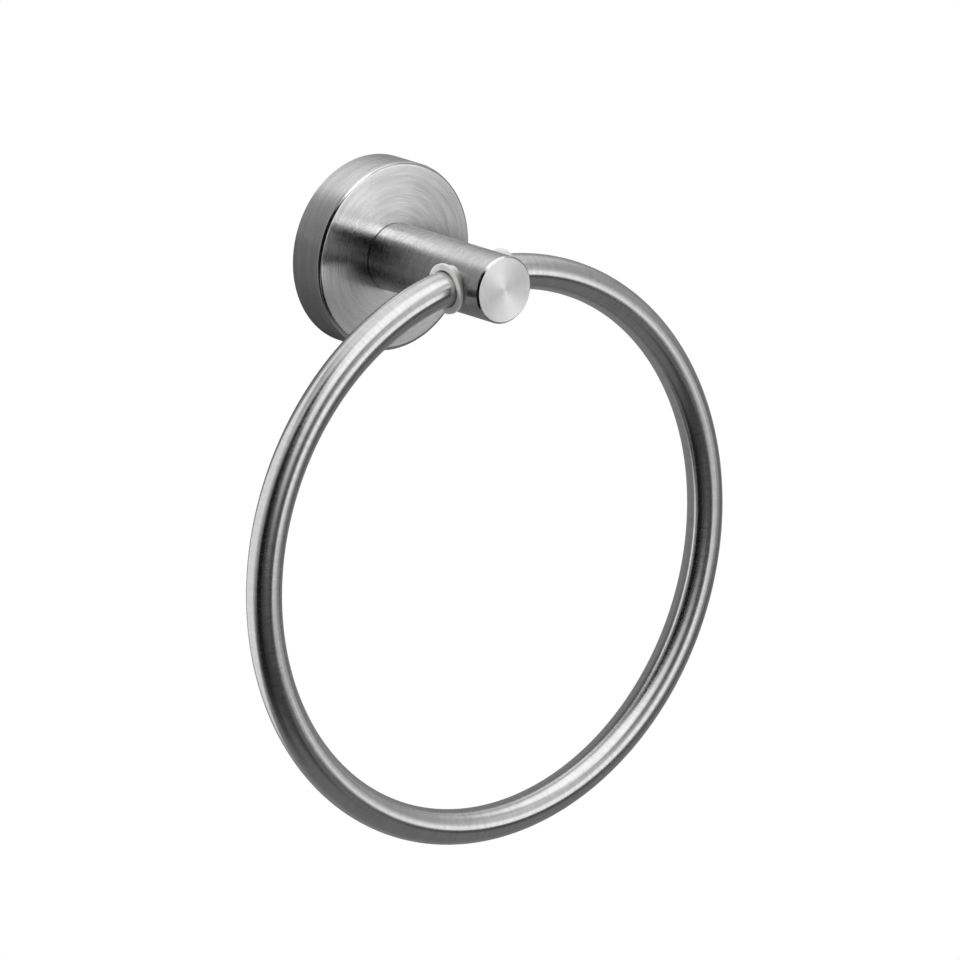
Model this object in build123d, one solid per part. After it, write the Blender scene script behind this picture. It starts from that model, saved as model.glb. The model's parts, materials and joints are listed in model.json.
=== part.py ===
from build123d import *
import math
import os

# Towel ring for a wall: a cupped flange, a turned post and a ring that swings in two bushings.
# X runs along the wall, -Y points out of the wall and +Z is up, all in millimetres.
# The origin is the centre of the flange on the wall's surface.

# Flange cover, a round cup with its open side on the wall
flange_diameter = 51.0
flange_depth = 11.5
flange_wall = 1.8
flange_face = 2.0
flange_edge_round = 1.0
flange_inside_round = 0.8
flange_rim_break = 0.3

# Post, a round bar that stands on the flange
post_diameter = 18.2
post_projection = 57.5
post_end_chamfer = 0.5
post_root_chamfer = 0.3

# Ring of bent tube, with a short straight end in each bushing
ring_tube_diameter = 9.5
ring_tube_wall = 1.2
ring_bend_radius = 75.0
ring_end_bend_radius = 20.0
ring_end_gap = 8.0
ring_end_chamfer = 0.4
pivot_from_post_end = 12.5

# Flanged bushings in the hole across the post
bushing_flange_lip = 1.0
bushing_flange_thickness = 1.1
bushing_wall = 1.0
bushing_sleeve_length = 6.0
bushing_edge_round = 0.4
bushing_mouth_chamfer = 0.35
bushing_lead_chamfer = 0.3

# Button-head screw and split washer that hold the post from inside the flange
post_screw_diameter = 5.0
post_screw_head_diameter = 9.5
post_screw_head_height = 2.75
post_screw_head_round = 1.8
post_screw_socket_width = 3.0
post_screw_socket_depth = 1.6
post_screw_engagement = 9.0
post_screw_tip_chamfer = 0.6
post_hole_runout = 3.0
drill_point_angle = 118.0
washer_diameter = 9.2
washer_thickness = 1.2
washer_slit = 0.9

# Wall bracket, a strip of sheet with a lug turned out at each end
bracket_thickness = 2.0
bracket_lug_setback = 3.2
bracket_front_gap = 1.5
bracket_bend_round = 1.5
bracket_lug_corner = 2.0
wall_slot_from_lug = 6.0
wall_slot_width = 4.5
wall_slot_length = 7.0

# Dog-point set screw in the bottom of the flange's rim
set_screw_diameter = 4.0
set_screw_from_lug_tip = 2.5
set_screw_recess = 0.4
set_screw_point_diameter = 2.5
set_screw_point_length = 1.2
set_screw_socket_width = 2.0
set_screw_socket_depth = 2.0

# Clearances, each on the radius or between two faces
ring_running_clearance = 0.06
ring_side_float = 0.35
bushing_fit_clearance = 0.02
thread_clearance = 0.05
screw_hole_clearance = 0.25
bracket_clearance = 0.25

# Shapes that have no size
quarter_turn = 90
hexagon_sides = 6

# Places and radii that follow from the sizes above
flange_radius = flange_diameter / 2
flange_inner_radius = flange_radius - flange_wall
flange_front = -flange_depth
flange_floor = flange_front + flange_face
post_radius = post_diameter / 2
post_end = -post_projection
pivot_from_wall = post_projection - pivot_from_post_end
tube_radius = ring_tube_diameter / 2
bushing_bore_radius = tube_radius + ring_running_clearance
bushing_sleeve_radius = bushing_bore_radius + bushing_wall
cross_bore_radius = bushing_sleeve_radius + bushing_fit_clearance
bushing_flange_radius = bushing_sleeve_radius + bushing_flange_lip
bushing_outer_face = post_radius + bushing_flange_thickness
screw_radius = post_screw_diameter / 2
screw_seat = flange_floor + washer_thickness
set_screw_radius = set_screw_diameter / 2
set_screw_from_wall = -flange_floor - bracket_front_gap - set_screw_from_lug_tip
lug_height = flange_inner_radius - bracket_lug_setback
lug_corner_radius = flange_inner_radius - bracket_clearance
bracket_half_width = math.sqrt(lug_corner_radius**2 - lug_height**2)


def corner(sketch, radius, along):
    """The corner of a flat profile that lies at a radius and a distance along the axis."""
    return sketch.vertices().sort_by_distance((radius, along, 0))[0]


def profile(points):
    """Closed flat outline from (radius, distance along the axis) points."""
    return make_face(Polyline(*points, close=True))


def turned(outline):
    """Solid turned from an outline about the Y axis."""
    return revolve(outline, Axis.Y)


def cross_rod(radius, length, rotation, place):
    """Round rod of a given radius and length, turned and moved from the Z axis."""
    return Pos(*place) * Rot(*rotation) * Cylinder(radius, length)


def hex_socket(width, depth):
    """Six-sided key socket from the XZ plane along +Y, or along -Y for a negative depth."""
    outline = Plane.XZ * RegularPolygon(width / 2, hexagon_sides, major_radius=False)
    return extrude(outline, -depth)


def make_flange_cover():
    hole_radius = screw_radius + screw_hole_clearance
    cup = profile(
        [
            (hole_radius, flange_front),
            (flange_radius, flange_front),
            (flange_radius, 0),
            (flange_inner_radius, 0),
            (flange_inner_radius, flange_floor),
            (hole_radius, flange_floor),
        ]
    )
    cup = fillet(corner(cup, flange_radius, flange_front), flange_edge_round)
    cup = fillet(corner(cup, flange_inner_radius, flange_floor), flange_inside_round)
    cup = chamfer(corner(cup, flange_radius, 0), flange_rim_break)
    set_screw_hole = cross_rod(
        set_screw_radius + thread_clearance,
        flange_radius,
        (0, 0, 0),
        (0, -set_screw_from_wall, -flange_radius),
    )
    return turned(cup) - set_screw_hole


def make_post():
    bar = profile(
        [
            (0, flange_front),
            (post_radius, flange_front),
            (post_radius, post_end),
            (0, post_end),
        ]
    )
    bar = chamfer(corner(bar, post_radius, flange_front), post_root_chamfer)
    bar = chamfer(corner(bar, post_radius, post_end), post_end_chamfer)
    hole_radius = screw_radius + thread_clearance
    hole_end = flange_front - post_screw_engagement - post_hole_runout
    hole_point = hole_end - hole_radius / math.tan(math.radians(drill_point_angle / 2))
    screw_hole = profile(
        [
            (0, flange_front),
            (hole_radius, flange_front),
            (hole_radius, hole_end),
            (0, hole_point),
        ]
    )
    cross_bore = cross_rod(
        cross_bore_radius,
        2 * post_diameter,
        (0, quarter_turn, 0),
        (0, -pivot_from_wall, 0),
    )
    return turned(bar) - turned(screw_hole) - cross_bore


def make_bushing(turn):
    """Bushing made along +Y from the post's centre, then turned about Z to its side of the post."""
    sleeve_end = post_radius - bushing_sleeve_length
    section = profile(
        [
            (bushing_bore_radius, sleeve_end),
            (bushing_sleeve_radius, sleeve_end),
            (bushing_sleeve_radius, post_radius),
            (bushing_flange_radius, post_radius),
            (bushing_flange_radius, bushing_outer_face),
            (bushing_bore_radius, bushing_outer_face),
        ]
    )
    section = fillet(corner(section, bushing_flange_radius, post_radius), bushing_edge_round)
    section = fillet(corner(section, bushing_flange_radius, bushing_outer_face), bushing_edge_round)
    section = chamfer(corner(section, bushing_bore_radius, bushing_outer_face), bushing_mouth_chamfer)
    section = chamfer(corner(section, bushing_sleeve_radius, sleeve_end), bushing_lead_chamfer)
    return Pos(0, -pivot_from_wall, 0) * Rot(0, 0, turn) * turned(section)


def make_towel_ring():
    """Tube swept along a straight end, an end bend, the big circle, and back to the other end."""
    end = ring_end_gap / 2
    straight = bushing_outer_face + ring_side_float
    turn = math.asin(straight / (ring_bend_radius - ring_end_bend_radius))
    bend_middle = (
        straight + ring_end_bend_radius * math.sin(turn / 2),
        ring_end_bend_radius * (math.cos(turn / 2) - 1),
    )
    bend_end = (
        straight + ring_end_bend_radius * math.sin(turn),
        ring_end_bend_radius * (math.cos(turn) - 1),
    )
    circle_centre = bend_end[1] - ring_bend_radius * math.cos(turn)
    bottom = (0, circle_centre - ring_bend_radius)

    def mirrored(point):
        return (-point[0], point[1])

    path = Wire(
        [
            Line((end, 0), (straight, 0)),
            ThreePointArc((straight, 0), bend_middle, bend_end),
            ThreePointArc(bend_end, bottom, mirrored(bend_end)),
            ThreePointArc(mirrored(bend_end), mirrored(bend_middle), (-straight, 0)),
            Line((-straight, 0), (-end, 0)),
        ]
    )
    pivot_plane = Plane((0, -pivot_from_wall, 0), x_dir=(1, 0, 0), z_dir=(0, -1, 0))
    path = pivot_plane * path
    wall_section = Circle(tube_radius) - Circle(tube_radius - ring_tube_wall)
    tube = sweep(Plane(path.position_at(0), z_dir=path.tangent_at(0)) * wall_section, path=path)
    print("ring centre below the pivot", round(-circle_centre, 3), "tube length", round(path.length, 2))
    end_rims = [face.outer_wire().edge() for face in tube.faces().filter_by(Axis.X)]
    return chamfer(end_rims, ring_end_chamfer)


def make_post_screw():
    head_radius = post_screw_head_diameter / 2
    head_top = screw_seat + post_screw_head_height
    tip = flange_front - post_screw_engagement
    screw = profile(
        [
            (0, head_top),
            (head_radius, head_top),
            (head_radius, screw_seat),
            (screw_radius, screw_seat),
            (screw_radius, tip),
            (0, tip),
        ]
    )
    screw = fillet(corner(screw, head_radius, head_top), post_screw_head_round)
    screw = chamfer(corner(screw, screw_radius, tip), post_screw_tip_chamfer)
    socket = Pos(0, head_top, 0) * hex_socket(post_screw_socket_width, -post_screw_socket_depth)
    return turned(screw) - socket


def make_lock_washer():
    hole_radius = screw_radius + screw_hole_clearance
    washer_radius = washer_diameter / 2
    ring = profile(
        [
            (hole_radius, flange_floor),
            (washer_radius, flange_floor),
            (washer_radius, screw_seat),
            (hole_radius, screw_seat),
        ]
    )
    slit = Pos(0, (flange_floor + screw_seat) / 2, washer_radius) * Box(
        washer_slit, 2 * washer_thickness, washer_diameter
    )
    return turned(ring) - slit


def make_wall_bracket():
    lug_inside = lug_height - bracket_thickness
    lug_tip = flange_floor + bracket_front_gap
    strip = profile(
        [
            (0, -lug_height),
            (0, lug_height),
            (lug_tip, lug_height),
            (lug_tip, lug_inside),
            (-bracket_thickness, lug_inside),
            (-bracket_thickness, -lug_inside),
            (lug_tip, -lug_inside),
            (lug_tip, -lug_height),
        ]
    )
    for side in (1, -1):
        strip = fillet(corner(strip, 0, side * lug_height), bracket_bend_round + bracket_thickness)
        strip = fillet(corner(strip, -bracket_thickness, side * lug_inside), bracket_bend_round)
    plate = extrude(Plane.YZ * strip, bracket_half_width, both=True)
    lug_tips = plate.edges().filter_by(Axis.Z).group_by(Axis.Y)[0]
    plate = fillet(lug_tips, bracket_lug_corner)
    for side in (1, -1):
        slot = Plane.XZ * Pos(0, side * (lug_inside - wall_slot_from_lug)) * SlotOverall(
            wall_slot_length, wall_slot_width, rotation=quarter_turn
        )
        plate -= extrude(slot, 2 * bracket_thickness, both=True)
    point_hole = cross_rod(
        set_screw_point_diameter / 2 + screw_hole_clearance,
        2 * bracket_thickness,
        (0, 0, 0),
        (0, -set_screw_from_wall, -lug_height),
    )
    return plate - point_hole


def make_set_screw():
    outer_end = set_screw_recess - flange_radius
    shoulder = -lug_height
    point_end = shoulder + set_screw_point_length
    point_radius = set_screw_point_diameter / 2
    screw = profile(
        [
            (0, outer_end),
            (set_screw_radius, outer_end),
            (set_screw_radius, shoulder),
            (point_radius, shoulder),
            (point_radius, point_end),
            (0, point_end),
        ]
    )
    socket = Pos(0, outer_end, 0) * hex_socket(set_screw_socket_width, set_screw_socket_depth)
    return Pos(0, -set_screw_from_wall, 0) * Rot(quarter_turn, 0, 0) * (turned(screw) - socket)


pieces = {
    "wall_bracket": make_wall_bracket(),
    "flange_cover": make_flange_cover(),
    "set_screw": make_set_screw(),
    "lock_washer": make_lock_washer(),
    "post_screw": make_post_screw(),
    "post": make_post(),
    "bushing_left": make_bushing(quarter_turn),
    "bushing_right": make_bushing(-quarter_turn),
    "towel_ring": make_towel_ring(),
}

os.makedirs("parts", exist_ok=True)
for name, piece in pieces.items():
    piece.label = name
    export_step(piece, f"parts/{name}.step")
    print(name, round(piece.volume, 1), "cubic mm")
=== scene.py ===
# %% [markdown]
# # A brushed steel towel ring
# The real thing is a cupped flange on the wall, a turned post that stands on it, and a ring of bent tube
# that swings in two nylon bushings. This lesson dresses the measured model: first the pieces that show are
# modelled as clean meshes, then each surface gets its finish, and last comes a small photo studio, because
# bare steel has hardly a look of its own. What it shows is mostly the room that it mirrors.

# %% Load the measured model
import json
import math
import bmesh
import bpy
from mathutils import Matrix, Vector


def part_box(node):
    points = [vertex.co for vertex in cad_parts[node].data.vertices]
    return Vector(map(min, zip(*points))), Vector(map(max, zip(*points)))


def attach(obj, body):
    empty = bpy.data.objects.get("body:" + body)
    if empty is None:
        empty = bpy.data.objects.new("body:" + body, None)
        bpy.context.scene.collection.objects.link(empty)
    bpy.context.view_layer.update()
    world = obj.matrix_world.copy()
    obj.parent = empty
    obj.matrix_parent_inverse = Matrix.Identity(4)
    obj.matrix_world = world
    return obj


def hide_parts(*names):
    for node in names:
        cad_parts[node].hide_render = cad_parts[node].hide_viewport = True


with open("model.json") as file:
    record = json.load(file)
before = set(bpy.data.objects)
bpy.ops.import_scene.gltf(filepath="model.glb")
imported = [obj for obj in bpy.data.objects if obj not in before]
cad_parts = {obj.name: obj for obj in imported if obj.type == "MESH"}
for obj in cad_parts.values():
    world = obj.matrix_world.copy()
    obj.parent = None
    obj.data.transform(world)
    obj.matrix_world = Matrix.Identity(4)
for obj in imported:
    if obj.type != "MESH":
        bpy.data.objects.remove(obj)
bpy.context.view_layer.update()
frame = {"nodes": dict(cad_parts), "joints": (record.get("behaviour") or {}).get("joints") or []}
nodes = frame["nodes"]
print("measured pieces:", ", ".join(sorted(nodes)))

# %% [markdown]
# ## Sizes
# Everything here is in metres, and most sizes are read from the measured model, so that a new piece lands
# exactly where the measured one is. Only what a box can't tell, such as a wall or a small round, is written
# down as a number. X runs along the wall, -Y comes out of it and Z is up.

# %% Read the main sizes from the model
MM = 0.001
flange_low, flange_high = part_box("flange_cover")
post_low, post_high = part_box("post")
ring_low, ring_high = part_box("towel_ring")
bushing_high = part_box("bushing_right")[1]
pivot = Vector(frame["joints"][0]["pos_m"])

flange_radius = flange_high.x
flange_front = flange_low.y
post_radius = post_high.x
post_end = post_low.y
tube_radius = (ring_high.y - ring_low.y) / 2
ring_radius = ring_high.x - tube_radius
ring_centre = Vector((0, pivot.y, ring_low.z + tube_radius + ring_radius))
bushing_radius = bushing_high.z
bushing_face = bushing_high.x
print(f"flange {2 * flange_radius / MM:.1f} mm, post {2 * post_radius / MM:.1f} mm, "
      f"ring {2 * ring_high.x / MM:.1f} mm of {2 * tube_radius / MM:.1f} mm tube")

# %% [markdown]
# ## Three helpers for modelling by hand
# An operator in edit mode works on whatever is selected, as the mouse would. So the helpers do what a hand
# does before each step: put everything down, pick up the points that lie in one place, and work on those.

# %% Helpers: put down, pick up, finish
SAME_POINT = 1e-6
SHARP_ANGLE = math.radians(35)


def put_down():
    """Nothing is selected, and Blender is in object mode."""
    if bpy.context.object and bpy.context.object.mode != "OBJECT":
        bpy.ops.object.mode_set(mode="OBJECT")
    bpy.ops.object.select_all(action="DESELECT")


def pick(piece, test):
    """In edit mode, selects the points whose place passes a test, and nothing else."""
    bpy.ops.mesh.select_mode(type="VERT")
    bpy.ops.mesh.select_all(action="DESELECT")
    shape = bmesh.from_edit_mesh(piece.data)
    for point in shape.verts:
        point.select_set(test(point.co))
    shape.select_flush_mode()
    bmesh.update_edit_mesh(piece.data)


def finish(piece):
    """Closes doubles, turns all faces outwards and shades round stretches smooth."""
    bpy.ops.object.mode_set(mode="EDIT")
    bpy.ops.mesh.select_all(action="SELECT")
    bpy.ops.mesh.remove_doubles(threshold=SAME_POINT)
    bpy.ops.mesh.normals_make_consistent(inside=False)
    bpy.ops.object.mode_set(mode="OBJECT")
    bpy.ops.object.shade_smooth_by_angle(angle=SHARP_ANGLE)
    print(f"{piece.name}: {len(piece.data.polygons)} faces")
    return piece


# %% [markdown]
# ## The ring, made like the real one
# The real ring is a straight tube that goes through a bender: a short straight end, a small bend, one big
# bend that is nearly a full circle, a second small bend and the other straight end. Blender's Spin is a tube
# bender too. It carries a hoop of points round a centre and leaves a wall behind it. A curve with a round
# bevel would be quicker, but it has no inside. Here the hoop goes round the outside, steps in by the
# thickness of the wall and comes back along the inside, so the tube is hollow, as the measured one is.

# %% Lay out the path of the tube
SMALL_BEND_CUTS = 10
BIG_BEND_CUTS = 220
ring_end_gap = 8 * MM
ring_end_chamfer = 0.4 * MM
small_bend_radius = 20 * MM
ring_side_float = 0.35 * MM
straight = bushing_face + ring_side_float
small_turn = math.asin(straight / (ring_radius - small_bend_radius))
big_turn = 2 * math.pi - 2 * small_turn
tube_start = ring_end_gap / 2

path = [
    ("run", tube_start + ring_end_chamfer - straight, None, 1),
    ("bend", small_turn, (-straight, pivot.y, pivot.z - small_bend_radius), SMALL_BEND_CUTS),
    ("bend", big_turn, tuple(ring_centre), BIG_BEND_CUTS),
    ("bend", small_turn, (straight, pivot.y, pivot.z - small_bend_radius), SMALL_BEND_CUTS),
    ("run", tube_start + ring_end_chamfer - straight, None, 1),
]
print(f"small bends of {math.degrees(small_turn):.1f} degrees, a big one of {math.degrees(big_turn):.1f}")

# %% Bend the towel ring
TUBE_SIDES = 64
tube_wall = 1.2 * MM


def carry(steps, way):
    """Carries the selected hoop along the path, forwards for way 1 and back for way -1."""
    for kind, amount, centre, cuts in steps[::way]:
        if kind == "run":
            bpy.ops.mesh.extrude_region_move(TRANSFORM_OT_translate={"value": (amount * way, 0, 0)})
        else:
            bpy.ops.mesh.spin(steps=cuts, angle=amount * way, center=centre, axis=(0, 1, 0))


def step_hoop(length, radius_from, radius_to, x):
    """Extrudes the hoop along X by a length, while its radius changes about the tube's line."""
    share = radius_to / radius_from
    bpy.ops.mesh.extrude_region_move(TRANSFORM_OT_translate={"value": (length, 0, 0)})
    bpy.ops.transform.resize(value=(1, share, share), center_override=(x, pivot.y, pivot.z))


def bend_ring():
    inner = tube_radius - tube_wall
    rim = tube_radius - ring_end_chamfer
    put_down()
    bpy.ops.mesh.primitive_circle_add(
        vertices=TUBE_SIDES,
        radius=rim,
        location=(-tube_start, pivot.y, pivot.z),
        rotation=(0, math.pi / 2, 0),
    )
    ring = bpy.context.object
    ring.name = "ring_tube"
    bpy.ops.object.transform_apply()
    bpy.ops.object.mode_set(mode="EDIT")
    bpy.ops.mesh.select_all(action="SELECT")
    step_hoop(-ring_end_chamfer, rim, tube_radius, -tube_start)
    carry(path, 1)
    step_hoop(-ring_end_chamfer, tube_radius, rim, tube_start)
    step_hoop(0, rim, inner, tube_start)
    bpy.ops.mesh.extrude_region_move(TRANSFORM_OT_translate={"value": (ring_end_chamfer, 0, 0)})
    carry(path, -1)
    bpy.ops.mesh.extrude_region_move(TRANSFORM_OT_translate={"value": (ring_end_chamfer, 0, 0)})
    at_start = -tube_start - 10 * SAME_POINT
    pick(ring, lambda p: at_start < p.x < 0 and abs(p.z) < 2 * tube_radius)
    bpy.ops.mesh.bridge_edge_loops()
    return finish(ring)


ring_tube = bend_ring()
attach(ring_tube, "ring")
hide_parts("towel_ring")

# %% [markdown]
# ## A lathe for the turned pieces
# The flange, the post and the bushings are all turned shapes. Spin could turn a drawn outline, but there is
# a way that stays closer to how a hoop of metal grows: start from one circle, extrude it, and scale each new
# hoop to the next radius of the outline. Where the outline comes back to its start, the last hoop is bridged
# to the first, and where it meets the axis, the hoop is scaled to nothing and merged. Bevel then rounds
# the edges that a lathe tool would break.

# %% A lathe built from circle, extrude and scale
LATHE_SIDES = 192


def hoop_at(radius, along):
    """A test that finds the points of one hoop."""
    def found(point):
        off_radius = abs(math.hypot(point.x, point.z) - radius)
        return off_radius < SAME_POINT and abs(point.y - along) < SAME_POINT
    return found


def extrude_hoop(radius, along, new_radius, new_along):
    share = new_radius / radius
    bpy.ops.mesh.extrude_region_move(TRANSFORM_OT_translate={"value": (0, new_along - along, 0)})
    bpy.ops.transform.resize(value=(share, 1, share), center_override=(0, new_along, 0))


def turned(name, outline, edges):
    """Turns (radius, place along Y) corners about Y. Edges to break are (corner, size, segments)."""
    hoops = [corner for corner in outline if corner[0] > 0]
    put_down()
    bpy.ops.mesh.primitive_circle_add(
        vertices=LATHE_SIDES,
        radius=hoops[0][0],
        location=(0, hoops[0][1], 0),
        rotation=(math.pi / 2, 0, 0),
    )
    piece = bpy.context.object
    piece.name = name
    bpy.ops.object.transform_apply()
    bpy.ops.object.mode_set(mode="EDIT")
    bpy.ops.mesh.select_all(action="SELECT")
    for here, there in zip(hoops, hoops[1:]):
        extrude_hoop(*here, *there)
    if len(hoops) == len(outline):
        pick(piece, lambda p: hoop_at(*hoops[0])(p) or hoop_at(*hoops[-1])(p))
        bpy.ops.mesh.bridge_edge_loops()
    else:
        extrude_hoop(*hoops[-1], *outline[-1])
        pick(piece, hoop_at(*hoops[0]))
        extrude_hoop(*hoops[0], *outline[0])
    bpy.ops.mesh.select_all(action="SELECT")
    bpy.ops.mesh.remove_doubles(threshold=SAME_POINT)
    for corner, size, segments in edges:
        pick(piece, hoop_at(*corner))
        bpy.ops.mesh.bevel(offset=size, segments=segments, profile=0.5, affect="EDGES")
    return finish(piece)


# %% [markdown]
# ## Holes across a turned piece
# A lathe can't make the hole across the post or the set screw's hole in the flange's rim: on the bench they
# are drilled afterwards. A Boolean does the same. Its cutter is a rod that is thrown away when the modifier
# has been applied.

# %% A drill
DRILL_SIDES = 96


def drill(piece, radius, length, place, rotation):
    """Cuts a round hole of a given radius, with a rod turned from the Z axis and centred on a place."""
    put_down()
    bpy.ops.mesh.primitive_cylinder_add(
        vertices=DRILL_SIDES, radius=radius, depth=length, location=place, rotation=rotation
    )
    rod = bpy.context.object
    put_down()
    piece.select_set(True)
    bpy.context.view_layer.objects.active = piece
    cut = piece.modifiers.new("drilled hole", "BOOLEAN")
    cut.operation = "DIFFERENCE"
    cut.solver = "EXACT"
    cut.object = rod
    bpy.ops.object.modifier_apply(modifier=cut.name)
    bpy.data.objects.remove(rod)
    finish(piece)


# %% [markdown]
# ## The flange cover
# A cup with its open side on the wall. Its front edge is rounded by a millimetre, which is what draws the
# thin dark and bright line round the face in any light, so it gets six segments. The rim on the wall has
# only a broken edge. The hole in the middle is for the screw that holds the post, and a small one at the
# bottom of the rim is for the set screw.

# %% Turn the flange cover
flange_wall = 1.8 * MM
flange_face = 2.0 * MM
flange_edge_round = 1.0 * MM
flange_inside_round = 0.8 * MM
flange_rim_break = 0.3 * MM
screw_hole_radius = 2.75 * MM
set_screw_low, set_screw_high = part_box("set_screw")
set_screw_y = (set_screw_low.y + set_screw_high.y) / 2
set_screw_clearance = 0.05 * MM

flange_inner = flange_radius - flange_wall
flange_floor = flange_front + flange_face
flange_cup = turned(
    "flange_cup",
    [
        (screw_hole_radius, flange_front),
        (flange_radius, flange_front),
        (flange_radius, 0),
        (flange_inner, 0),
        (flange_inner, flange_floor),
        (screw_hole_radius, flange_floor),
    ],
    [
        ((flange_radius, flange_front), flange_edge_round, 6),
        ((flange_inner, flange_floor), flange_inside_round, 4),
        ((flange_radius, 0), flange_rim_break, 1),
    ],
)
drill(
    flange_cup,
    set_screw_high.x + set_screw_clearance,
    flange_radius,
    (0, set_screw_y, -flange_radius),
    (0, 0, 0),
)
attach(flange_cup, "wall_post")
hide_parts("flange_cover")

# %% [markdown]
# ## The post
# A plain round bar with a chamfer at each end: a wide one at the free end, which catches a dark and a bright
# line, and a fine one at the root, which leaves the hairline seam where it stands on the flange. The blind
# hole for its screw comes from behind, with the cone that a drill leaves, and the hole for the bushings goes
# straight across.

# %% Turn and drill the post
post_end_chamfer = 0.5 * MM
post_root_chamfer = 0.3 * MM
blind_hole_radius = 2.55 * MM
blind_hole_depth = 12 * MM
blind_hole_end = flange_front - blind_hole_depth
drill_point = math.radians(118)
drill_cone = blind_hole_radius / math.tan(drill_point / 2)
cross_hole_radius = 5.83 * MM
cross_hole_length = 4 * post_radius

post_bar = turned(
    "post_bar",
    [
        (0, post_end),
        (post_radius, post_end),
        (post_radius, flange_front),
        (blind_hole_radius, flange_front),
        (blind_hole_radius, blind_hole_end),
        (0, blind_hole_end - drill_cone),
    ],
    [
        ((post_radius, post_end), post_end_chamfer, 1),
        ((post_radius, flange_front), post_root_chamfer, 1),
    ],
)
drill(post_bar, cross_hole_radius, cross_hole_length, tuple(pivot), (0, math.pi / 2, 0))
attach(post_bar, "wall_post")
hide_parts("post")

# %% [markdown]
# ## The bushings
# Two small nylon tubes with a collar, pushed into the post from both sides. Their collars are the pale
# rings beside the post. One is turned on the same lathe and copied. Each of the two is then laid over to its
# own side of the post, by a quarter turn about Z.

# %% Turn one bushing and copy it
ring_clearance = 0.06 * MM
sleeve_wall = 1.0 * MM
sleeve_depth = 6.0 * MM
bushing_bore = tube_radius + ring_clearance
bushing_sleeve = bushing_bore + sleeve_wall
bushing_inner_end = post_radius - sleeve_depth
collar_round = 0.4 * MM
collar_break = 0.2 * MM
mouth_chamfer = 0.35 * MM
lead_chamfer = 0.3 * MM


def place_bushing(bushing, turn):
    """Lays a bushing that was turned about Y over to one side of the post."""
    bushing.rotation_euler = (0, 0, turn)
    bushing.location = pivot
    bpy.ops.object.transform_apply()


right_bushing = turned(
    "right_bushing",
    [
        (bushing_bore, bushing_inner_end),
        (bushing_sleeve, bushing_inner_end),
        (bushing_sleeve, post_radius),
        (bushing_radius, post_radius),
        (bushing_radius, bushing_face),
        (bushing_bore, bushing_face),
    ],
    [
        ((bushing_radius, post_radius), collar_round, 4),
        ((bushing_radius, bushing_face), collar_break, 3),
        ((bushing_bore, bushing_face), mouth_chamfer, 1),
        ((bushing_sleeve, bushing_inner_end), lead_chamfer, 1),
    ],
)
bpy.ops.object.duplicate(linked=False)
left_bushing = bpy.context.object
left_bushing.name = "left_bushing"
place_bushing(left_bushing, math.pi / 2)
put_down()
right_bushing.select_set(True)
bpy.context.view_layer.objects.active = right_bushing
place_bushing(right_bushing, -math.pi / 2)
for bushing, measured in ((left_bushing, "bushing_left"), (right_bushing, "bushing_right")):
    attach(bushing, "wall_post")
    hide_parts(measured)

# %% [markdown]
# ## Helpers for materials
# A material is a tree of nodes: coordinates go in on the left, a shader comes out on the right, and between
# them noise is stretched, coloured and turned into small bumps. By hand each node is added and wired with
# the mouse. Most of these helpers add one node, wire it, and give back the node or the socket that the next
# step needs.

# %% Helpers: nodes, noise, colour and bump
NOISE_LOW = 0.3
NOISE_HIGH = 0.7


def node(tree, kind, place, **settings):
    """A shader node of a kind, at a place in the node editor, with its settings."""
    made = tree.nodes.new(kind)
    made.location = place
    for key, value in settings.items():
        setattr(made, key, value)
    return made


def vector_math(tree, operation, place, first, second=None):
    """A Vector Math node. The second input is a vector, a socket that feeds it, or left alone."""
    made = node(tree, "ShaderNodeVectorMath", place, operation=operation)
    tree.links.new(first, made.inputs[0])
    if isinstance(second, tuple):
        made.inputs[1].default_value = second
    elif second is not None:
        tree.links.new(second, made.inputs[1])
    return made


def math_node(tree, operation, *values):
    """A Math node whose inputs are numbers or the sockets that feed them."""
    made = node(tree, "ShaderNodeMath", (0, 0), operation=operation)
    for socket, value in zip(made.inputs, values):
        if isinstance(value, (int, float)):
            socket.default_value = value
        else:
            tree.links.new(value, socket)
    return made.outputs[0]


def map_range(tree, place, value, low, high, start=NOISE_LOW, stop=NOISE_HIGH):
    """Turns start to stop into low to high. Noise seldom leaves the range that is set here."""
    made = node(tree, "ShaderNodeMapRange", place)
    tree.links.new(value, made.inputs["Value"])
    for key, number in (("From Min", start), ("From Max", stop), ("To Min", low), ("To Max", high)):
        made.inputs[key].default_value = number
    return made.outputs["Result"]


def grey(level):
    return level, level, level


def two_tone(tree, place, value, dark, light, start=0.35, stop=0.65):
    """A colour ramp from a dark colour to a light one."""
    ramp = node(tree, "ShaderNodeValToRGB", place)
    for element, position, colour in zip(ramp.color_ramp.elements, (start, stop), (dark, light)):
        element.position = position
        element.color = (*colour, 1)
    tree.links.new(value, ramp.inputs["Fac"])
    return ramp.outputs["Color"]


def add_bump(tree, shader, height, strength, distance):
    bump = node(tree, "ShaderNodeBump", (600, -400))
    bump.inputs["Strength"].default_value = strength
    bump.inputs["Distance"].default_value = distance
    tree.links.new(height, bump.inputs["Height"])
    tree.links.new(bump.outputs["Normal"], shader.inputs["Normal"])


def new_material(name):
    """A node material, its tree and its shader."""
    material = bpy.data.materials.new(name)
    material.use_nodes = True
    tree = material.node_tree
    shader = tree.nodes["Principled BSDF"]
    shader.location = (900, 0)
    tree.nodes["Material Output"].location = (1200, 0)
    return material, tree, shader


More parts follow.
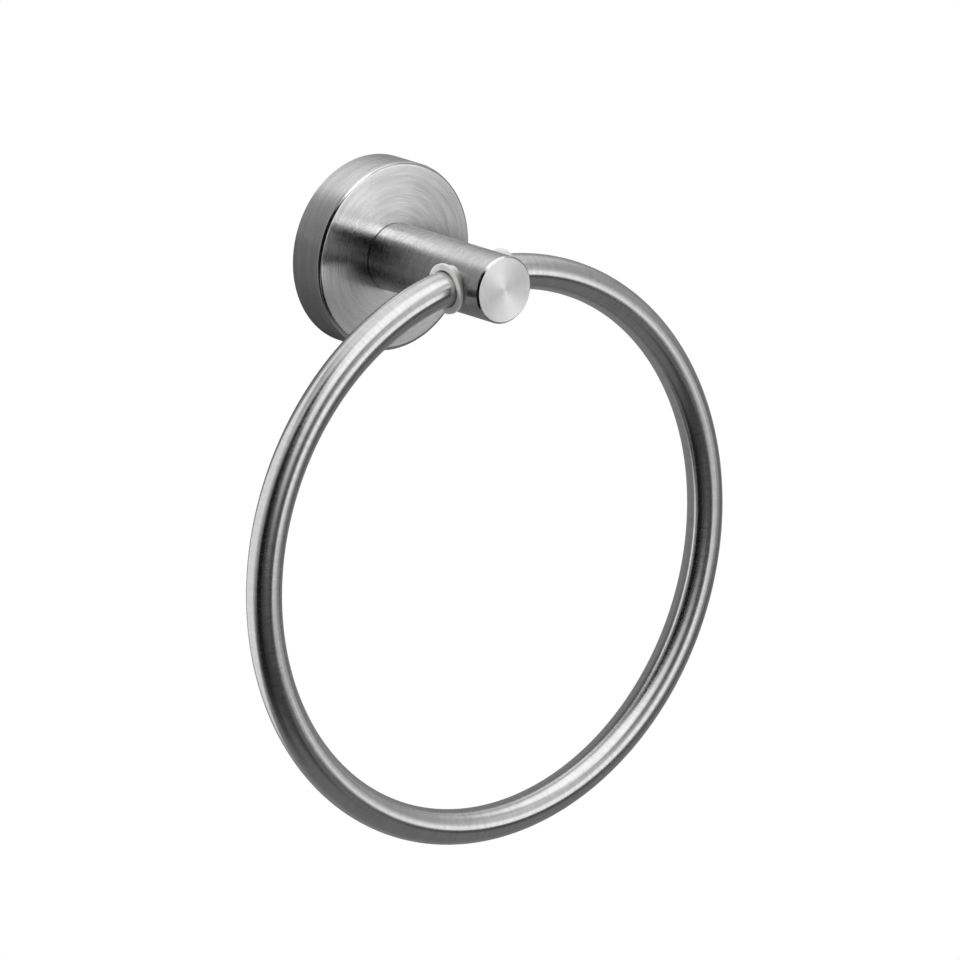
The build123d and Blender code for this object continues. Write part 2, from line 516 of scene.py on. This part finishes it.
# %% [markdown]
# ## Brushed steel
# Brushed steel is bright metal under thousands of fine parallel scratches. Along a scratch it is nearly a
# mirror, and across the scratches it is rough, so a reflection is drawn out across them. Principled BSDF
# has this as Anisotropic, with a Tangent that says which way the scratches lie. All three steel pieces are
# turned or bent round an axis along Y, so one Radial tangent about Y serves them all. On the flange and the
# post the scratches run round the axis, and on the ring they run round the tube, which is across that.
#
# The scratches themselves are a stretched noise. Wrapping a texture round an axis with an angle leaves a
# seam where the angle jumps, so the noise reads the direction from the axis as a vector of length one
# instead, and the distance from the axis as its fourth number: slow one way, quick the other, no seam.

# %% Scratches round an axis
SCRATCH_DETAIL = 2.0


def scratch_coordinates(tree, centre, around, across, row):
    """Noise coordinates about an axis along Y: `around` counts per radian, `across` per metre."""
    place = node(tree, "ShaderNodeTexCoord", (-1500, row))
    centred = node(tree, "ShaderNodeMapping", (-1300, row))
    centred.inputs["Location"].default_value = (-centre.x, 0, -centre.z)
    tree.links.new(place.outputs["Object"], centred.inputs["Vector"])
    flat = vector_math(tree, "MULTIPLY", (-1100, row), centred.outputs[0], (1, 0, 1))
    outwards = vector_math(tree, "NORMALIZE", (-900, row + 80), flat.outputs[0])
    turned_by = vector_math(tree, "MULTIPLY", (-700, row + 80), outwards.outputs[0], (around, 0, around))
    depth = vector_math(tree, "MULTIPLY", (-900, row - 80), centred.outputs[0], (0, across, 0))
    vector = vector_math(tree, "ADD", (-500, row), turned_by.outputs[0], depth.outputs[0])
    length = vector_math(tree, "LENGTH", (-900, row - 240), flat.outputs[0])
    radius = math_node(tree, "MULTIPLY", length.outputs["Value"], across)
    return vector.outputs[0], radius


def scratches(tree, place, centre, around, across):
    """Four-dimensional noise at scale one: the coordinates carry the scale."""
    vector, radius = scratch_coordinates(tree, centre, around, across, place[1])
    made = node(tree, "ShaderNodeTexNoise", place, noise_dimensions="4D")
    made.inputs["Scale"].default_value = 1.0
    made.inputs["Detail"].default_value = SCRATCH_DETAIL
    tree.links.new(vector, made.inputs["Vector"])
    tree.links.new(radius, made.inputs["W"])
    return made.outputs["Fac"]


# %% Build the brushed steel
ROUGHNESS_SPREAD = 0.04
SCRATCH_DEPTH = 0.02 * MM


def brushed_steel(
    name, centre, fine, broad, roughness, anisotropy, rough_way, greys=(0.55, 0.66), relief=0.25
):
    """Steel brushed about an axis. fine and broad are (around, across) counts of two layers of scratches."""
    material, tree, shader = new_material(name)
    fine_noise = scratches(tree, (-300, 300), centre, *fine)
    broad_noise = scratches(tree, (-300, -300), centre, *broad)
    dark, light = grey(greys[0]), grey(greys[1])
    colour = two_tone(tree, (200, 300), broad_noise, dark, light, NOISE_LOW, NOISE_HIGH)
    tree.links.new(colour, shader.inputs["Base Color"])
    smooth, rough = roughness - ROUGHNESS_SPREAD, roughness + ROUGHNESS_SPREAD
    tree.links.new(map_range(tree, (200, 0), fine_noise, smooth, rough), shader.inputs["Roughness"])
    add_bump(tree, shader, fine_noise, relief, SCRATCH_DEPTH)
    tangent = node(tree, "ShaderNodeTangent", (500, -500), direction_type="RADIAL", axis="Y")
    tree.links.new(tangent.outputs["Tangent"], shader.inputs["Tangent"])
    shader.inputs["Metallic"].default_value = 1.0
    shader.inputs["Anisotropic"].default_value = anisotropy
    shader.inputs["Anisotropic Rotation"].default_value = rough_way
    return material


# %% Finish the flange, the post and the ring
ALONG_TANGENT = 0.0
ACROSS_TANGENT = 0.25
AXIS = Vector((0, 0, 0))
finishes = {
    flange_cup: brushed_steel(
        "flange_brushed",
        AXIS,
        fine=(2.5, 2800),
        broad=(1.5, 700),
        roughness=0.245,
        anisotropy=1.0,
        rough_way=ACROSS_TANGENT,
    ),
    post_bar: brushed_steel(
        "post_brushed",
        AXIS,
        fine=(3, 2800),
        broad=(2, 700),
        roughness=0.245,
        anisotropy=1.0,
        rough_way=ACROSS_TANGENT,
        relief=0.15,
    ),
    ring_tube: brushed_steel(
        "ring_brushed",
        ring_centre,
        fine=(190, 500),
        broad=(60, 200),
        roughness=0.23,
        anisotropy=0.85,
        rough_way=ALONG_TANGENT,
        greys=(0.57, 0.64),
        relief=0.16,
    ),
}
for piece, material in finishes.items():
    piece.data.materials.clear()
    piece.data.materials.append(material)
    print(piece.name, "is finished in", material.name)

# %% [markdown]
# ## End face, edges and seam
# The end face was turned with a fine feed and shows the double fan of light that turned faces have. It is
# duller than the brushed sides, and its steel is painted much paler, as painted light. The round of the
# flange and the chamfer of the post were made with a finer tool, so they mirror more sharply. The narrow
# seam at the post's root hardly gets any light, and a dark steel paints that shade in. Each gets a steel of
# its own in a further material slot. Its faces are picked by their place, as by hand.

# %% Tests that find the faces
NEAR = 0.01 * MM


def on_end_face(radius, along):
    return along < post_end + NEAR


def on_end_chamfer(radius, along):
    within = post_end + NEAR < along < post_end + post_end_chamfer
    return within and radius > post_radius - post_end_chamfer


def on_root_chamfer(radius, along):
    return radius > post_radius - post_root_chamfer and along > flange_front - post_root_chamfer


def on_flange_round(radius, along):
    within = flange_front + NEAR < along < flange_front + flange_edge_round
    return within and radius > flange_radius - flange_edge_round


# %% Finish the end face, the edges and the seam
def finish_faces(piece, material, test):
    """Puts a further material on the faces whose centre, as (radius, place along Y), passes a test."""
    piece.data.materials.append(material)
    slot = len(piece.data.materials) - 1
    picked = [f for f in piece.data.polygons if test(math.hypot(f.center.x, f.center.z), f.center.y)]
    for face in picked:
        face.material_index = slot
    print(f"{material.name}: {len(picked)} faces of {piece.name}")


# Painted light: greys far paler than steel stand in for the light the end face catches. Its duller turned
# finish is real.
end_face = brushed_steel(
    "post_end_turned_painted_light",
    AXIS,
    fine=(3, 3000),
    broad=(2, 700),
    roughness=0.42,
    anisotropy=0.65,
    rough_way=ACROSS_TANGENT,
    greys=(0.92, 0.97),
    relief=0.05,
)
edge = brushed_steel(
    "edge_fine",
    AXIS,
    fine=(5, 2400),
    broad=(2, 700),
    roughness=0.17,
    anisotropy=0.5,
    rough_way=ACROSS_TANGENT,
    relief=0.08,
)
# Painted shade: a dark steel stands in for the shade in the narrow seam at the post's root.
seam = brushed_steel(
    "seam_painted_shade",
    AXIS,
    fine=(5, 2400),
    broad=(2, 700),
    roughness=0.45,
    anisotropy=0.2,
    rough_way=ACROSS_TANGENT,
    greys=(0.10, 0.16),
)
finish_faces(post_bar, end_face, on_end_face)
finish_faces(post_bar, edge, on_end_chamfer)
finish_faces(post_bar, seam, on_root_chamfer)
finish_faces(flange_cup, edge, on_flange_round)

# %% [markdown]
# ## Nylon, zinc and plain steel
# The bushings are natural nylon: white, a little see-through, with a soft gloss and the faint unevenness of
# a moulding. The bracket behind the cover is sheet steel with a zinc coat, whose crystals vary a little in
# brightness. The screws and the washer are plain machined steel. These last pieces keep the measured meshes
# and only get better materials.

# %% Build the other finishes
NOISE_DETAIL = 3.0
GRAIN_DEPTH = 0.02 * MM
ZINC_DEPTH = 0.05 * MM
LIGHT_DEPTH = 0.8 * MM


def object_noise(tree, place, scale):
    """Plain noise on the object's own coordinates."""
    where = node(tree, "ShaderNodeTexCoord", (place[0] - 200, place[1]))
    made = node(tree, "ShaderNodeTexNoise", place)
    made.inputs["Scale"].default_value = scale
    made.inputs["Detail"].default_value = NOISE_DETAIL
    tree.links.new(where.outputs["Object"], made.inputs["Vector"])
    return made.outputs["Fac"]


def moulded_nylon():
    material, tree, shader = new_material("moulded_nylon")
    cloud = object_noise(tree, (0, 200), scale=260)
    grain = object_noise(tree, (0, -200), scale=2200)
    colour = two_tone(tree, (300, 200), cloud, dark=(0.72, 0.72, 0.71), light=(0.80, 0.80, 0.79))
    tree.links.new(colour, shader.inputs["Base Color"])
    tree.links.new(map_range(tree, (300, -50), cloud, low=0.36, high=0.46), shader.inputs["Roughness"])
    add_bump(tree, shader, grain, strength=0.15, distance=GRAIN_DEPTH)
    shader.inputs["Subsurface Weight"].default_value = 0.3
    shader.inputs["Subsurface Radius"].default_value = (1.0, 1.0, 1.0)
    shader.inputs["Subsurface Scale"].default_value = LIGHT_DEPTH
    return material


def zinc_plate():
    material, tree, shader = new_material("zinc_plate")
    where = node(tree, "ShaderNodeTexCoord", (-400, 100))
    crystals = node(tree, "ShaderNodeTexVoronoi", (-150, 200))
    crystals.inputs["Scale"].default_value = 420
    tree.links.new(where.outputs["Object"], crystals.inputs["Vector"])
    cloud = object_noise(tree, (-150, -200), scale=180)
    middle, rim = (0.70, 0.71, 0.72), (0.60, 0.61, 0.63)
    colour = two_tone(tree, (300, 200), crystals.outputs["Distance"], middle, rim)
    tree.links.new(colour, shader.inputs["Base Color"])
    tree.links.new(map_range(tree, (300, -50), cloud, low=0.30, high=0.46), shader.inputs["Roughness"])
    add_bump(tree, shader, cloud, strength=0.12, distance=ZINC_DEPTH)
    shader.inputs["Metallic"].default_value = 0.7
    return material


def machined_steel():
    material, tree, shader = new_material("machined_steel")
    cloud = object_noise(tree, (-150, 200), scale=500)
    grain = object_noise(tree, (-150, -200), scale=3500)
    colour = two_tone(tree, (300, 200), cloud, dark=grey(0.42), light=grey(0.55))
    tree.links.new(colour, shader.inputs["Base Color"])
    tree.links.new(map_range(tree, (300, -50), grain, low=0.28, high=0.42), shader.inputs["Roughness"])
    add_bump(tree, shader, grain, strength=0.15, distance=GRAIN_DEPTH)
    shader.inputs["Metallic"].default_value = 1.0
    return material


# %% Give the other pieces their finishes
nylon = moulded_nylon()
for bushing in (left_bushing, right_bushing):
    bushing.data.materials.clear()
    bushing.data.materials.append(nylon)
zinc = zinc_plate()
steel = machined_steel()
kept_nodes = {"wall_bracket": zinc, "set_screw": steel, "lock_washer": steel, "post_screw": steel}
for name, material in kept_nodes.items():
    nodes[name].material_slots[0].material = material
    print(name, "is finished in", material.name)

# %% [markdown]
# ## The studio, painted inside a tent
# Steel is photographed by what it mirrors. A real studio hangs a big softbox over the front, stands a
# smaller one to the right at the ring's own height, and keeps a black flag on the left, all inside a grey
# tent. Here the inside of the tent is painted with those panels. Each panel is a soft-edged patch, placed as
# seen from the ring: azimuth 0 is straight out of the wall and positive to the right, and elevation is up.
# Later panels cover earlier ones. The tent shows only in reflections: the camera sees plain white.

# %% Plan the panels
# Each grey of the bare tent is (height, level). Height 0 is straight down and 1 is straight up.
tent_greys = ((0.0, 0.22), (0.25, 0.18), (0.5, 0.32), (0.75, 0.6), (1.0, 1.3))
panels = [
    # name, azimuth, elevation, width, height, softness, brightness
    ("dark_behind", 142, -22, 120, 78, 14, 0.30),
    ("back_top", 180, 58, 150, 40, 16, 1.1),
    ("right_wall", 104, 52, 34, 52, 18, 0.85),
    ("left_wall", -129, 10, 52, 104, 10, 0.33),
    ("left_high", -114, 50, 36, 34, 12, 0.5),
    ("floor_right", 40, -46, 150, 30, 10, 0.22),
    ("floor_left", -85, -44, 50, 36, 10, 0.07),
    ("left_flag", -46, 0, 108, 92, 6, 0.01),
    ("left_flag_top", -69, 44, 38, 46, 10, 0.0),
    ("overhead_left", -27, 64, 44, 28, 8, 1.55),
    ("overhead_softbox", 31, 61, 80, 37, 8, 1.6),
    ("overhead_front", 8, 41, 32, 20, 6, 1.5),
    ("window_glow", 24, 20, 24, 28, 8, 0.8),
    ("window", 30, -4, 34, 23, 4, 1.55),
    ("window_top", 37, 19, 18, 28, 8, 0.95),
    ("window_side", 57, -6, 22, 24, 6, 0.68),
    ("right_glow", 80, 14, 28, 32, 10, 0.42),
    ("right_low", 88, -14, 30, 26, 8, 0.17),
    ("low_flag", 42, -24, 72, 13, 4, 0.09),
]
print("the tent has", len(panels), "panels")

# %% Helpers: soft edges and paint that gives light
def soft_edge(tree, distance, size, softness):
    """One inside a panel's half size, nothing outside it, and a smooth step between."""
    made = node(tree, "ShaderNodeMapRange", (0, 0), interpolation_type="SMOOTHSTEP")
    made.inputs["From Min"].default_value = (size + softness) / 2
    made.inputs["From Max"].default_value = (size - softness) / 2
    tree.links.new(distance, made.inputs["Value"])
    return made.outputs["Result"]


def light_paint(name, clear):
    """A material that only gives light, its tree and the light's node. A clear one can be seen through."""
    material = bpy.data.materials.new(name)
    material.use_nodes = True
    material.cycles.emission_sampling = "NONE"
    tree = material.node_tree
    tree.nodes.remove(tree.nodes["Principled BSDF"])
    light = node(tree, "ShaderNodeEmission", (0, 0))
    surface = light.outputs[0]
    if clear:
        pane = node(tree, "ShaderNodeBsdfTransparent", (0, -200))
        both = node(tree, "ShaderNodeAddShader", (200, 0))
        tree.links.new(surface, both.inputs[0])
        tree.links.new(pane.outputs[0], both.inputs[1])
        surface = both.outputs[0]
    tree.links.new(surface, tree.nodes["Material Output"].inputs["Surface"])
    return material, tree, light


def show_in_reflections_only(made):
    made.visible_camera = False
    made.visible_diffuse = False
    made.visible_shadow = False


# %% Paint the tent
STUDIO_CENTRE = Vector((0, -0.03, -0.07))
TENT_RADIUS = 4.0
HALF_TURN = 180.0


def bare_tent(tree, elevation):
    """The tent's own grey, from straight down to straight up."""
    ramp = node(tree, "ShaderNodeValToRGB", (0, 0))
    while len(ramp.color_ramp.elements) < len(tent_greys):
        ramp.color_ramp.elements.new(0.5)
    for element, (position, level) in zip(ramp.color_ramp.elements, tent_greys):
        element.position = position
        element.color = (*grey(level), 1)
    tree.links.new(math_node(tree, "MULTIPLY_ADD", elevation, 1 / HALF_TURN, 0.5), ramp.inputs["Fac"])
    return ramp.outputs["Color"]


def paint_tent():
    material, tree, light = light_paint("tent_paint", clear=False)
    where = node(tree, "ShaderNodeTexCoord", (0, 0))
    unit = vector_math(tree, "NORMALIZE", (0, 0), where.outputs["Object"])
    split = node(tree, "ShaderNodeSeparateXYZ", (0, 0))
    tree.links.new(unit.outputs[0], split.inputs[0])
    outwards = math_node(tree, "MULTIPLY", split.outputs["Y"], -1.0)
    azimuth = math_node(tree, "DEGREES", math_node(tree, "ARCTAN2", split.outputs["X"], outwards))
    elevation = math_node(tree, "DEGREES", math_node(tree, "ARCSINE", split.outputs["Z"]))
    level = bare_tent(tree, elevation)
    for name, panel_azimuth, panel_elevation, width, height, softness, brightness in panels:
        sideways = math_node(tree, "SUBTRACT", azimuth, panel_azimuth)
        turned_by = math_node(tree, "WRAP", sideways, HALF_TURN, -HALF_TURN)
        raised_by = math_node(tree, "SUBTRACT", elevation, panel_elevation)
        across = soft_edge(tree, math_node(tree, "ABSOLUTE", turned_by), width, softness)
        upright = soft_edge(tree, math_node(tree, "ABSOLUTE", raised_by), height, softness)
        cover = node(tree, "ShaderNodeMix", (0, 0), data_type="FLOAT", label=name)
        tree.links.new(math_node(tree, "MULTIPLY", across, upright), cover.inputs["Factor"])
        tree.links.new(level, cover.inputs["A"])
        cover.inputs["B"].default_value = brightness
        level = cover.outputs["Result"]
    tree.links.new(level, light.inputs["Strength"])
    return material


put_down()
bpy.ops.mesh.primitive_uv_sphere_add(
    segments=72, ring_count=36, radius=TENT_RADIUS, location=STUDIO_CENTRE
)
tent = bpy.context.object
tent.name = "studio_tent"
tent.data.materials.append(paint_tent())
show_in_reflections_only(tent)
print(f"the tent is {2 * TENT_RADIUS:.0f} m across")

# %% [markdown]
# ## Two cards close behind the ring
# The panels are far away, so every part of the ring sees them in the same direction. The picture isn't
# quite like that: the ring's left side has a broad pale band, and the inside of its right side has none,
# although both face the same way. So two cards stand close behind it, a white one to the left and a grey
# one on the rest, and each part of the steel mirrors the card that happens to be behind it. Light linking
# keeps the white one to the ring: a card lights only what is in its receiver collection. The grey one is
# darker behind the flange, as if in its shadow, and the flange's rim mirrors that.

# %% Helpers: a card, and light linking
CARD_BACK = 0.01


def card(name, paint, left, right, bottom, top):
    """An upright card that shows only in reflections."""
    put_down()
    middle = ((left + right) / 2, CARD_BACK, (bottom + top) / 2)
    bpy.ops.mesh.primitive_plane_add(size=1, location=middle, rotation=(math.pi / 2, 0, 0))
    made = bpy.context.object
    made.name = name
    made.scale = (right - left, top - bottom, 1)
    bpy.ops.object.transform_apply(location=True, rotation=True, scale=True)
    made.data.materials.append(paint)
    show_in_reflections_only(made)
    print(f"{name}: {right - left:.2f} by {top - bottom:.2f} m")
    return made


def light_only(made, *pieces):
    """Light linking: this card or softbox lights these pieces and no others."""
    receivers = bpy.data.collections.new("lit_by_" + made.name)
    for piece in pieces:
        receivers.objects.link(piece)
    made.light_linking.receiver_collection = receivers
    print(made.name, "lights only", [piece.name for piece in pieces])


# %% Stand two cards behind the ring
CARDS_MEET = -0.075
WHITE_LEVEL = 0.7
GREY_LEVEL = 0.28
SHADOW_LEVEL = 0.04
SHADOW_PLACE = Vector((-0.010, CARD_BACK, -0.032))
SHADOW_REACH = 0.065

white_paint, tree, light = light_paint("white_card", clear=True)
light.inputs["Strength"].default_value = WHITE_LEVEL
white_card = card("white_card", white_paint, left=-0.22, right=CARDS_MEET, bottom=-0.16, top=0.06)
light_only(white_card, ring_tube)

grey_paint, tree, light = light_paint("grey_card", clear=False)
where = node(tree, "ShaderNodeTexCoord", (0, 0))
away = vector_math(tree, "DISTANCE", (0, 0), where.outputs["Object"], tuple(SHADOW_PLACE))
shaded = map_range(tree, (0, 0), away.outputs["Value"], SHADOW_LEVEL, GREY_LEVEL, 0, SHADOW_REACH)
tree.links.new(shaded, light.inputs["Strength"])
card("grey_card", grey_paint, left=CARDS_MEET, right=0.25, bottom=-0.30, top=0.012)

# %% [markdown]
# ## Softboxes with flags
# The ring mirrors lights, high in front on the left and at its left side, that the post and the flange
# don't show, and the root of the post has a streak brighter than anything on the ring. In a studio these
# would be softboxes with flags that keep their light off the other pieces. Here light linking does it again.
# The boxes are clear, so that the other pieces see the tent through them, and they fade at their edges.

# %% Hang the softboxes
BOX_DISTANCE = 2.0
BOX_SOFTNESS = 0.3
BOX_HALF = 0.5


def direction(azimuth, elevation):
    """The unit vector from the ring towards a place in the studio."""
    a, e = math.radians(azimuth), math.radians(elevation)
    return Vector((math.sin(a) * math.cos(e), -math.cos(a) * math.cos(e), math.sin(e)))


def softbox(name, azimuth, elevation, width, height, level, fade_from, fade_to):
    """A card of light that faces the ring. It fades in between two parts of its height, from below."""
    material, tree, light = light_paint(name, clear=True)
    where = node(tree, "ShaderNodeTexCoord", (0, 0))
    split = node(tree, "ShaderNodeSeparateXYZ", (0, 0))
    tree.links.new(where.outputs["Object"], split.inputs[0])
    aside = math_node(tree, "ABSOLUTE", split.outputs["X"])
    sides = soft_edge(tree, aside, 1 - BOX_SOFTNESS, BOX_SOFTNESS)
    bottom, top = fade_from - BOX_HALF, fade_to - BOX_HALF
    fade = map_range(tree, (0, 0), split.outputs["Y"], 0, level, bottom, top)
    tree.links.new(math_node(tree, "MULTIPLY", sides, fade), light.inputs["Strength"])
    put_down()
    towards = direction(azimuth, elevation)
    bpy.ops.mesh.primitive_plane_add(size=2 * BOX_HALF, location=STUDIO_CENTRE + towards * BOX_DISTANCE)
    made = bpy.context.object
    made.name = name
    made.rotation_euler = towards.to_track_quat("Z", "Y").to_euler()
    made.scale = (width, height, 1)
    made.data.materials.append(material)
    show_in_reflections_only(made)
    return made


softboxes = [
    # name, azimuth, elevation, width, height, level, fade from, fade to, pieces
    ("ring_softbox", -22, 23, 1.22, 1.9, 1.45, 0.05, 0.8, (ring_tube,)),
    ("ring_side_box", -97, 12, 1.07, 3.1, 0.33, 0.0, 0.35, (ring_tube,)),
    ("ring_sheen_box", -22, -5, 4.0, 2.8, 0.06, 0.0, 0.25, (ring_tube,)),
    ("post_softbox", 8, 41, 1.1, 0.7, 3.4, 0.0, 0.2, (post_bar, flange_cup)),
]
for *settings, pieces in softboxes:
    light_only(softbox(*settings), *pieces)

# %% [markdown]
# ## Lamps and backdrop
# The nylon and the floor mirror very little, so they need light of their own: a key lamp high on the left,
# a little behind, so that the left bushing's collar lies partly in the tube's shadow, a fill lamp on the
# right, and a soft grey from all round. The backdrop is the world itself. It is white for the camera, and
# for reflections and clear things too, so that they would show the same white.

# %% Hang the lamps
LAMP_DISTANCE = 3.0


def lamp(name, azimuth, elevation, size, level):
    """A square area lamp that faces the ring. The level is its brightness as the ring sees it."""
    light = bpy.data.lights.new(name, "AREA")
    light.size = size
    light.energy = level * math.pi * size * size
    made = bpy.data.objects.new(name, light)
    bpy.context.scene.collection.objects.link(made)
    towards = direction(azimuth, elevation)
    turn = towards.to_track_quat("Z", "Y").to_matrix().to_4x4()
    made.matrix_world = Matrix.Translation(STUDIO_CENTRE + towards * LAMP_DISTANCE) @ turn
    made.visible_camera = False
    made.visible_glossy = False
    print(f"{name}: {light.energy:.0f} W")


lamp("key_lamp", azimuth=-140, elevation=46, size=1.2, level=20.0)
lamp("fill_lamp", azimuth=92, elevation=30, size=1.6, level=6.0)

# %% Light the world
SOFT_LEVEL = 0.2
WHITE = 1.0
world = bpy.data.worlds.new("white_backdrop")
bpy.context.scene.world = world
world.use_nodes = True
tree = world.node_tree
tree.nodes.clear()
rays = node(tree, "ShaderNodeLightPath", (-600, 0))
seen = math_node(tree, "MAXIMUM", rays.outputs["Is Camera Ray"], rays.outputs["Is Glossy Ray"])
seen_through = math_node(tree, "MAXIMUM", seen, rays.outputs["Is Transmission Ray"])
soft_light = node(tree, "ShaderNodeBackground", (0, 150))
soft_light.inputs["Color"].default_value = (*grey(SOFT_LEVEL), 1)
white = node(tree, "ShaderNodeBackground", (0, -50))
white.inputs["Color"].default_value = (*grey(WHITE), 1)
either = node(tree, "ShaderNodeMixShader", (200, 0))
tree.links.new(seen_through, either.inputs["Fac"])
tree.links.new(soft_light.outputs[0], either.inputs[1])
tree.links.new(white.outputs[0], either.inputs[2])
world_output = node(tree, "ShaderNodeOutputWorld", (400, 0))
tree.links.new(either.outputs[0], world_output.inputs["Surface"])
print(world.name, "gives a soft light of", SOFT_LEVEL)

# %% [markdown]
# ## The floor
# The ring hangs on a wall, so the floor is well below it: a round pale disc that shows, with the soft
# shadow on it, when the camera looks down from above. From below it is clear, so that the ring can be looked
# at from there too.

# %% Lay the floor
FLOOR_LEVEL = -0.40
FLOOR_RADIUS = 0.5
FLOOR_SIDES = 96
put_down()
bpy.ops.mesh.primitive_circle_add(
    vertices=FLOOR_SIDES, radius=FLOOR_RADIUS, fill_type="NGON", location=(0, 0, FLOOR_LEVEL)
)
floor = bpy.context.object
floor.name = "pale_floor"
floor.visible_glossy = False
floor_material, tree, shader = new_material("pale_floor")
cloud = object_noise(tree, (0, 200), scale=40)
pale = two_tone(tree, (300, 200), cloud, dark=grey(0.78), light=grey(0.82))
tree.links.new(pale, shader.inputs["Base Color"])
shader.inputs["Roughness"].default_value = 0.8
side = node(tree, "ShaderNodeNewGeometry", (600, 400))
clear = node(tree, "ShaderNodeBsdfTransparent", (600, 200))
from_above = node(tree, "ShaderNodeMixShader", (1050, 200))
tree.links.new(side.outputs["Backfacing"], from_above.inputs["Fac"])
tree.links.new(shader.outputs[0], from_above.inputs[1])
tree.links.new(clear.outputs[0], from_above.inputs[2])
tree.links.new(from_above.outputs[0], tree.nodes["Material Output"].inputs["Surface"])
floor.data.materials.append(floor_material)
print(f"the floor is {-FLOOR_LEVEL:.2f} m below the flange")

# %% [markdown]
# ## The camera
# The picture was taken from the left, a little above, with a lens so long that parallel lines stay
# parallel. The lens and the distance below give that: 750 mm on a 36 mm sensor, from more than five metres
# away.

# %% Place the camera
SENSOR_WIDTH = 36
FOCAL_LENGTH = 750
NEAREST = 0.1
FURTHEST = 30
VIEW_AZIMUTH = -38.393
VIEW_ELEVATION = 16.932
VIEW_ROLL = -2.508
VIEW_DISTANCE = 5.281271
AIM_POINT = Vector((0, -0.045, -0.075))
AIM_SIDEWAYS = 1.7187 * MM
AIM_UP = -19.3567 * MM

camera_data = bpy.data.cameras.new("long_lens")
camera_data.sensor_width = SENSOR_WIDTH
camera_data.lens = FOCAL_LENGTH
camera_data.clip_start = NEAREST
camera_data.clip_end = FURTHEST
camera = bpy.data.objects.new("long_lens", camera_data)
bpy.context.scene.collection.objects.link(camera)
back = direction(VIEW_AZIMUTH, VIEW_ELEVATION)
turn = back.to_track_quat("Z", "Y").to_matrix() @ Matrix.Rotation(math.radians(VIEW_ROLL), 3, "Z")
right, up = turn.col[0], turn.col[1]
eye = AIM_POINT - right * AIM_SIDEWAYS - up * AIM_UP + back * VIEW_DISTANCE
camera.matrix_world = Matrix.Translation(eye) @ turn.to_4x4()
bpy.context.scene.camera = camera
bpy.context.scene.view_settings.view_transform = "Standard"
print(f"the camera stands at {eye.x:.2f}, {eye.y:.2f}, {eye.z:.2f} m")
